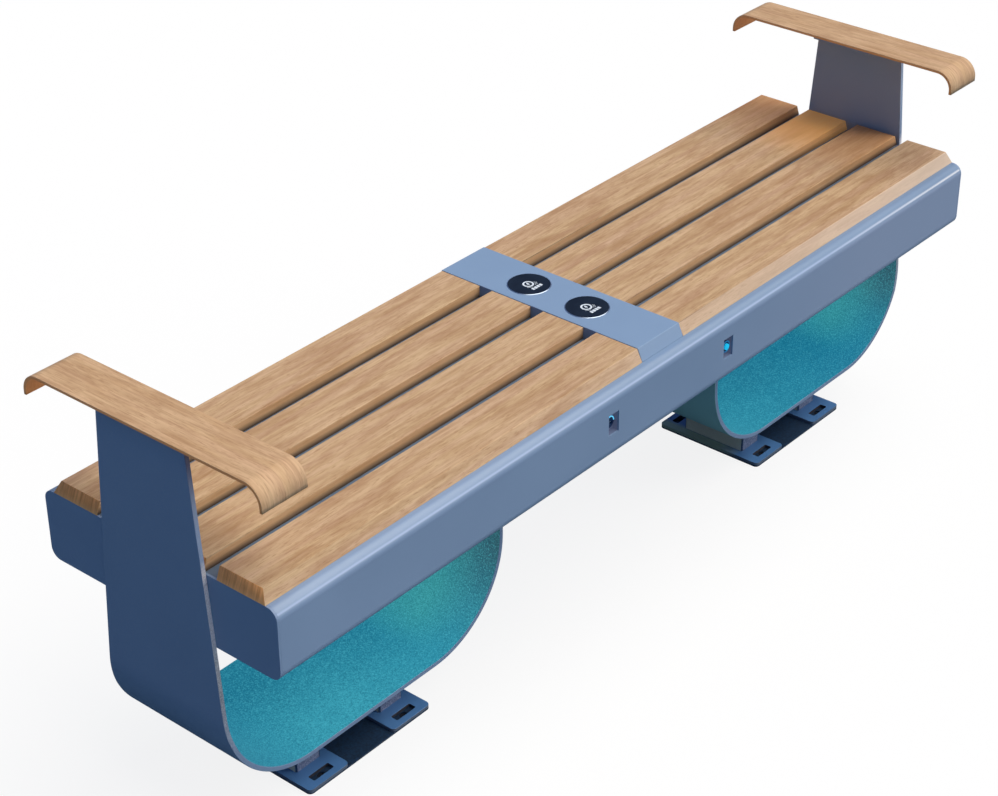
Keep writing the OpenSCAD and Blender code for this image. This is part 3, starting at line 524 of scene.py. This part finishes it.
def new_piece(name, mesh, slot, *node_names):
    """A piece that rides on the bench and stands for some CAD nodes, whose shapes it hides. The slot is
    not used.
    """
    piece = link_new(name, mesh)
    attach(piece, "bench")
    if node_names:
        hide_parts(*node_names)
    return piece


def smooth(piece):
    """Smooth shading that keeps the large flat faces flat."""
    for face in piece.data.polygons:
        face.use_smooth = True
    piece.modifiers.new("even_normals", "WEIGHTED_NORMAL").keep_sharp = True


# Limits for what counts as a sharp edge, one plane, one point and a face inside a slot
SHARP = math.radians(25)
SAME_PLANE = math.radians(0.5)
SAME_POINT = 0.01 * MM
SLOT_INSET = 4 * MM


def edged(node_name, width, segments=2, shortest=4 * MM, slot_shade_coat=None):
    """The CAD shape of a node with its long sharp edges rounded, and a darker coat of painted shade inside
    slots.
    """
    shape = bmesh.new()
    shape.from_mesh(nodes[node_name].data)
    bmesh.ops.remove_doubles(shape, verts=shape.verts, dist=SAME_POINT)
    bmesh.ops.dissolve_limit(shape, angle_limit=SAME_PLANE, verts=shape.verts, edges=shape.edges)
    sharp = [
        edge for edge in shape.edges
        if len(edge.link_faces) == 2
        and edge.calc_face_angle(0.0) > SHARP
        and edge.calc_length() > shortest
    ]
    bmesh.ops.bevel(
        shape, geom=sharp, offset=width, segments=segments, profile=0.5, affect="EDGES",
        clamp_overlap=True)
    bmesh.ops.recalc_face_normals(shape, faces=shape.faces)
    finishes = [SLOT_MATERIALS[NODE_SLOTS[node_name]]]
    if slot_shade_coat:
        finishes.append(slot_shade_coat)
        low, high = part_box(node_name)
        for face in shape.faces:
            middle = face.calc_center_median()
            to_side = min(middle.x - low.x, high.x - middle.x, middle.y - low.y, high.y - middle.y)
            upright = abs(face.normal.z) < 0.9
            face.material_index = int(upright and to_side > SLOT_INSET)
    mesh = mesh_from(shape, node_name + "_edged", *finishes)
    smooth(new_piece(node_name + "_finished", mesh, NODE_SLOTS[node_name], node_name))


def arc(centre, radius, start, end, steps):
    """Points of an arc from start to end degrees."""
    angles = [math.radians(start + (end - start) * i / steps) for i in range(steps + 1)]
    return [(centre[0] + radius * math.cos(a), centre[1] + radius * math.sin(a)) for a in angles]


CORNER_STEPS = 3


def plate_section(width, thickness, edge):
    """Outline of a flat bar with rounded edges, as (across, out) points."""
    half_w, half_t = width / 2 - edge, thickness / 2 - edge
    corners = [(half_w, half_t, 0), (-half_w, half_t, 90), (-half_w, -half_t, 180), (half_w, -half_t, 270)]
    points = []
    for x, y, start in corners:
        points += arc((x, y), edge, start, start + 90, CORNER_STEPS)
    return points


def bent_plate(name, node_name, path, width_at, thickness, edge, to_space, finishes, pick):
    """Sweeps a flat bar with rounded edges along a flat path; pick gives a face one of the finishes.

    Every point keeps how far along, across and out of the bar it lies, for the grain of wood.
    """
    shape = bmesh.new()
    grain = shape.verts.layers.float_vector.new("grain")
    rows = []
    travelled = 0.0
    for i, (u, v) in enumerate(path):
        before, after = path[max(i - 1, 0)], path[min(i + 1, len(path) - 1)]
        if i:
            travelled += math.dist(path[i - 1], path[i])
        tangent = Vector((after[0] - before[0], after[1] - before[1])).normalized()
        normal = Vector((tangent.y, -tangent.x))
        row = []
        for across, out in plate_section(width_at(u, v), thickness, edge):
            vert = shape.verts.new(to_space(u + normal.x * out, v + normal.y * out, across))
            vert[grain] = Vector((travelled, across, out))
            row.append(vert)
        rows.append(row)
    for first, second in zip(rows, rows[1:]):
        size = len(first)
        for k in range(size):
            shape.faces.new((first[k], first[(k + 1) % size], second[(k + 1) % size], second[k]))
    shape.faces.new(rows[0])
    shape.faces.new(rows[-1])
    bmesh.ops.recalc_face_normals(shape, faces=shape.faces)
    for face in shape.faces:
        face.material_index = pick(face)
    mesh = mesh_from(shape, name, *finishes)
    smooth(new_piece(name, mesh, NODE_SLOTS[node_name], node_name))


# Bent plate legs, whose outer upright narrows from the taper's start to the top

LEG_T = 8 * MM
LEG_R = 168 * MM
LEG_TOP_W = 178 * MM
LEG_TAPER_START = 112 * MM
LEG_EDGE = 0.9 * MM
LEG_BEND_STEPS = 36
# The loop's middle below the box, which the faces with painted cyan light look at
LOOP_MIDDLE_DEPTH = 130 * MM


def leg_plate(side):
    """One leg: outer upright, loop under the box and inner upright, with painted cyan light on the inside
    of the loop.
    """
    sign = -1 if side == "left" else 1
    low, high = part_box("leg_" + side)
    outer, inner = (low.x, high.x) if side == "left" else (high.x, low.x)
    outer_mid = outer - sign * LEG_T / 2
    inner_mid = inner + sign * LEG_T / 2
    inner_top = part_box("leg_flange_" + side)[0].z
    low_width = high.y - low.y
    bend_top = low.z + LEG_R
    taper_low = low.z + LEG_TAPER_START
    middle_r = LEG_R - LEG_T / 2
    outer_turn, inner_turn = ((180, 270), (270, 360)) if side == "left" else ((0, -90), (-90, -180))
    path = [(outer_mid, high.z), (outer_mid, (high.z + bend_top) / 2)]
    path += arc((outer - sign * LEG_R, bend_top), middle_r, *outer_turn, LEG_BEND_STEPS)
    path += arc((inner + sign * LEG_R, bend_top), middle_r, *inner_turn, LEG_BEND_STEPS)
    path += [(inner_mid, inner_top)]
    loop_middle = Vector(((low.x + high.x) / 2, 0, CASE_LOW - LOOP_MIDDLE_DEPTH))

    def width_at(u, v):
        if v < taper_low or abs(u - inner_mid) < abs(u - outer_mid):
            return low_width
        return low_width + (LEG_TOP_W - low_width) * (v - taper_low) / (high.z - taper_low)

    def pick(face):
        middle = face.calc_center_median()
        inward = face.normal.dot(loop_middle - middle) > 0 and abs(face.normal.y) < 0.5
        return int(inward and middle.z < CASE_LOW)

    bent_plate(
        "leg_plate_" + side, "leg_" + side, path, width_at, LEG_T, LEG_EDGE,
        lambda u, v, across: (u, across, v), (LEG_COAT, LIT_COAT), pick)


# Bent timber armrests

ARM_T = 5 * MM
ARM_R = 32 * MM
ARM_EDGE = 0.8 * MM
ARM_CURL_STEPS = 20


def arm_strip(side):
    """One armrest: a flat strip whose two ends curl down."""
    low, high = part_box("arm_" + side)
    middle_r = ARM_R - ARM_T / 2
    curl_z = high.z - ARM_R
    path = [(low.y + ARM_T / 2, low.z)]
    path += arc((low.y + ARM_R, curl_z), middle_r, 180, 90, ARM_CURL_STEPS)
    path += arc((high.y - ARM_R, curl_z), middle_r, 90, 0, ARM_CURL_STEPS)
    path += [(high.y - ARM_T / 2, low.z)]
    x_mid = (low.x + high.x) / 2
    bent_plate(
        "arm_strip_" + side, "arm_" + side, path, lambda u, v: high.x - low.x, ARM_T, ARM_EDGE,
        lambda u, v, across: (x_mid + across, u, v), (ARM_WOOD,), lambda face: 0)


for side in SIDES:
    leg_plate(side)
for side in SIDES:
    arm_strip(side)

# CAD shapes with rounded edges
for side in SIDES:
    for row in SLAT_ROWS:
        edged("slat_%s_%d" % (side, row), 0.7 * MM, 3)
    edged("end_plate_" + side, 0.3 * MM, shortest=1 * MM)
    edged("ground_mat_" + side, 0.8 * MM, shortest=0.1 * MM)
    edged("led_profile_" + side, 0.3 * MM)
    edged("leg_flange_" + side, 0.8 * MM)
    edged("arm_bracket_" + side, 0.8 * MM)
    for end in FOOT_ENDS:
        edged("foot_plate_%s_%s" % (side, end), 0.8 * MM, shortest=0.1 * MM, slot_shade_coat=SLOT_SHADE_COAT)
        edged("foot_riser_%s_%s" % (side, end), 0.6 * MM, shortest=1 * MM)
edged("centre_panel", 0.9 * MM, 3, shortest=6 * MM)
edged("service_cover", 0.6 * MM, shortest=1 * MM)


# Printed sign on each charge pad

PRINT_T = 0.08 * MM
BAND_STEPS = 12
# Millimetres from the middle of the pad, and for the bolt from the middle of the ring
RING_AT = (-1, 1)
RING_R = (6.8, 9.9)
# Inner radius, first and last angle of each arc
WAVES = ((12.2, -150, -100), (12.2, -62, -8), (14.6, -50, -18))
WAVE_W = 0.7
BOLT = [(-0.5, 4.6), (2.5, 4.6), (1.0, 0.9), (3.0, 0.9), (-2.1, -4.9), (-0.8, -0.8), (-2.7, -0.8)]
BARS = 4
BARS_AT = (-10.9, -19.7)
BAR_W, BAR_H, BAR_PITCH = 4.9, 6.6, 6.3


def band(centre, inner, outer, start, end):
    """Outline of a curved band between two radii."""
    return arc(centre, outer, start, end, BAND_STEPS) + arc(centre, inner, end, start, BAND_STEPS)


def pad_print(end):
    """The sign of one pad, raised by its own thickness: a ring with a bolt in it, arcs and bars."""
    low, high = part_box("pad_" + end)
    quarters = [(*RING_R, start, start + 90) for start in (0, 90, 180, 270)]
    waves = [(radius, radius + WAVE_W, start, stop) for radius, start, stop in WAVES]
    outlines = [band(RING_AT, *one) for one in quarters + waves]
    outlines.append([(RING_AT[0] + x, RING_AT[1] + y) for x, y in BOLT])
    for k in range(BARS):
        x, y = BARS_AT[0] + k * BAR_PITCH, BARS_AT[1]
        outlines.append([(x, y), (x + BAR_W, y), (x + BAR_W, y + BAR_H), (x, y + BAR_H)])
    centre_x, centre_y = (low.x + high.x) / 2, (low.y + high.y) / 2
    shape = bmesh.new()
    for outline in outlines:
        points = [(centre_x + x * MM, centre_y + y * MM) for x, y in outline]
        top = [shape.verts.new((*point, high.z + PRINT_T)) for point in points]
        foot = [shape.verts.new((*point, high.z)) for point in points]
        shape.faces.new(top)
        for k in range(len(points)):
            after = (k + 1) % len(points)
            shape.faces.new((foot[k], foot[after], top[after], top[k]))
    bmesh.ops.recalc_face_normals(shape, faces=shape.faces)
    new_piece("pad_print_" + end, mesh_from(shape, "pad_print_" + end, PRINT), "white_plastic")


for end in ("front", "rear"):
    pad_print(end)


# Floor, surround, lamps and camera

def camera_rays(tree):
    """1 for rays from the camera, also through clear parts, and 0 for all others."""
    rays = add(tree, "LightPath").outputs
    return add(tree, "Math", {
        0: rays["Is Camera Ray"], 1: rays["Is Transmission Ray"],
    }, operation="MAXIMUM").outputs[0]


def studio_floor():
    """Pale floor: near white to the camera with a soft shadow, dull to everything it lights."""
    made, tree, _ = new_material("studio_floor")
    tree.nodes.clear()
    pale = add(tree, "BsdfDiffuse", {"Color": "#f6f6f7"}).outputs[0]
    glow = add(tree, "Emission", {"Color": "#ffffff", "Strength": 1.0}).outputs[0]
    shown = add(tree, "MixShader", {0: 0.86, 1: pale, 2: glow}).outputs[0]
    dull = add(tree, "BsdfDiffuse", {"Color": "#59707c"}).outputs[0]
    both = add(tree, "MixShader", {0: camera_rays(tree), 1: dull, 2: shown}).outputs[0]
    add(tree, "OutputMaterial", {"Surface": both})
    return made


def studio_world():
    """Weak pale blue light from all round, and plain white to the camera."""
    world = bpy.data.worlds.new("studio")
    world.use_nodes = True
    tree = world.node_tree
    tree.nodes.clear()
    around = add(tree, "Background", {"Color": "#a2c2ff", "Strength": 0.3}).outputs[0]
    white = add(tree, "Background", {"Color": "#ffffff", "Strength": 1.0}).outputs[0]
    both = add(tree, "MixShader", {0: camera_rays(tree), 1: around, 2: white}).outputs[0]
    add(tree, "OutputWorld", {"Surface": both})
    return world


FLOOR_HALF = 20.0
floor_corners = [(x * FLOOR_HALF, y * FLOOR_HALF, 0) for x, y in ((-1, -1), (1, -1), (1, 1), (-1, 1))]
floor_mesh = bpy.data.meshes.new("floor")
floor_mesh.from_pydata(floor_corners, [], [(0, 1, 2, 3)])
floor = link_new("floor", floor_mesh)
dress(floor, studio_floor())
bpy.context.scene.world = studio_world()

# Dark flat faces on the floor under the two slots of each foot plate, painted shade standing for drilled
# holes, just above it so that they show
HOLE_R = 7.9 * MM
HOLE_STEPS = 24
HOLE_Z = 0.02 * MM
SLOT_FROM_EDGE = 19.5 * MM


def painted_hole_shade():
    """Dark round faces under the middle of every anchor slot, painted with the shade inside a drilled
    hole.
    """
    shape = bmesh.new()
    for side in SIDES:
        for end in FOOT_ENDS:
            low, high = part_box("foot_plate_%s_%s" % (side, end))
            for y in (low.y + SLOT_FROM_EDGE, high.y - SLOT_FROM_EDGE):
                rim = arc(((low.x + high.x) / 2, y), HOLE_R, 0, 360, HOLE_STEPS)[:-1]
                shape.faces.new([shape.verts.new((*point, HOLE_Z)) for point in rim])
    shade, tree, shader = new_material("shaded_concrete_hole")
    fill(tree, shader, {"Base Color": "#0c1626", "Roughness": 0.9})
    link_new("painted_hole_shade", mesh_from(shape, "painted_hole_shade", shade))


painted_hole_shade()

LAMP_DISTANCE = 5.0


def far_lamp(name, toward, strength, degrees, code):
    """Very wide and far soft lamp that shines from the given direction, evenly along the bench."""
    data = bpy.data.lights.new(name, "SUN")
    data.angle = math.radians(degrees)
    data.energy = strength
    data.color = colour(code)[:3]
    lamp = link_new(name, data)
    lamp.location = Vector(toward).normalized() * LAMP_DISTANCE
    lamp.rotation_euler = (-Vector(toward)).to_track_quat("-Z", "Y").to_euler()


far_lamp("key_lamp", (0.30, -0.32, 0.90), 3.2, 64, "#fff7e6")
far_lamp("front_lamp", (0.55, -0.78, 0.30), 0.68, 36, "#fff8f0")

IMAGE_WIDTH = 998
FOCAL_PIXELS = 2296.684
SENSOR_WIDTH = 36
CAMERA_AZIMUTH = math.radians(-49.68123)
CAMERA_ELEVATION = math.radians(31.31501)
CAMERA_ROLL = math.radians(-0.36785)
CAMERA_DISTANCE = 3.91588
CAMERA_TARGET = Vector((-0.05519, 0.08222, 0.31973))


def set_camera():
    """Stands the camera where the reference view was taken from."""
    a, e, r = CAMERA_AZIMUTH, CAMERA_ELEVATION, CAMERA_ROLL
    back = Vector((math.sin(a) * math.cos(e), -math.cos(a) * math.cos(e), math.sin(e)))
    right = Vector((math.cos(a), math.sin(a), 0))
    up = back.cross(right)
    turned_right = right * math.cos(r) + up * math.sin(r)
    turned_up = up * math.cos(r) - right * math.sin(r)
    data = bpy.data.cameras.new("camera")
    data.sensor_width = SENSOR_WIDTH
    data.lens = FOCAL_PIXELS * SENSOR_WIDTH / IMAGE_WIDTH
    data.clip_end = 100
    camera = link_new("camera", data)
    place = CAMERA_TARGET + back * CAMERA_DISTANCE
    rows = [(turned_right[i], turned_up[i], back[i], place[i]) for i in range(3)]
    camera.matrix_world = Matrix([*rows, (0, 0, 0, 1)])
    bpy.context.scene.camera = camera


set_camera()
bpy.context.scene.view_settings.view_transform = "Standard"
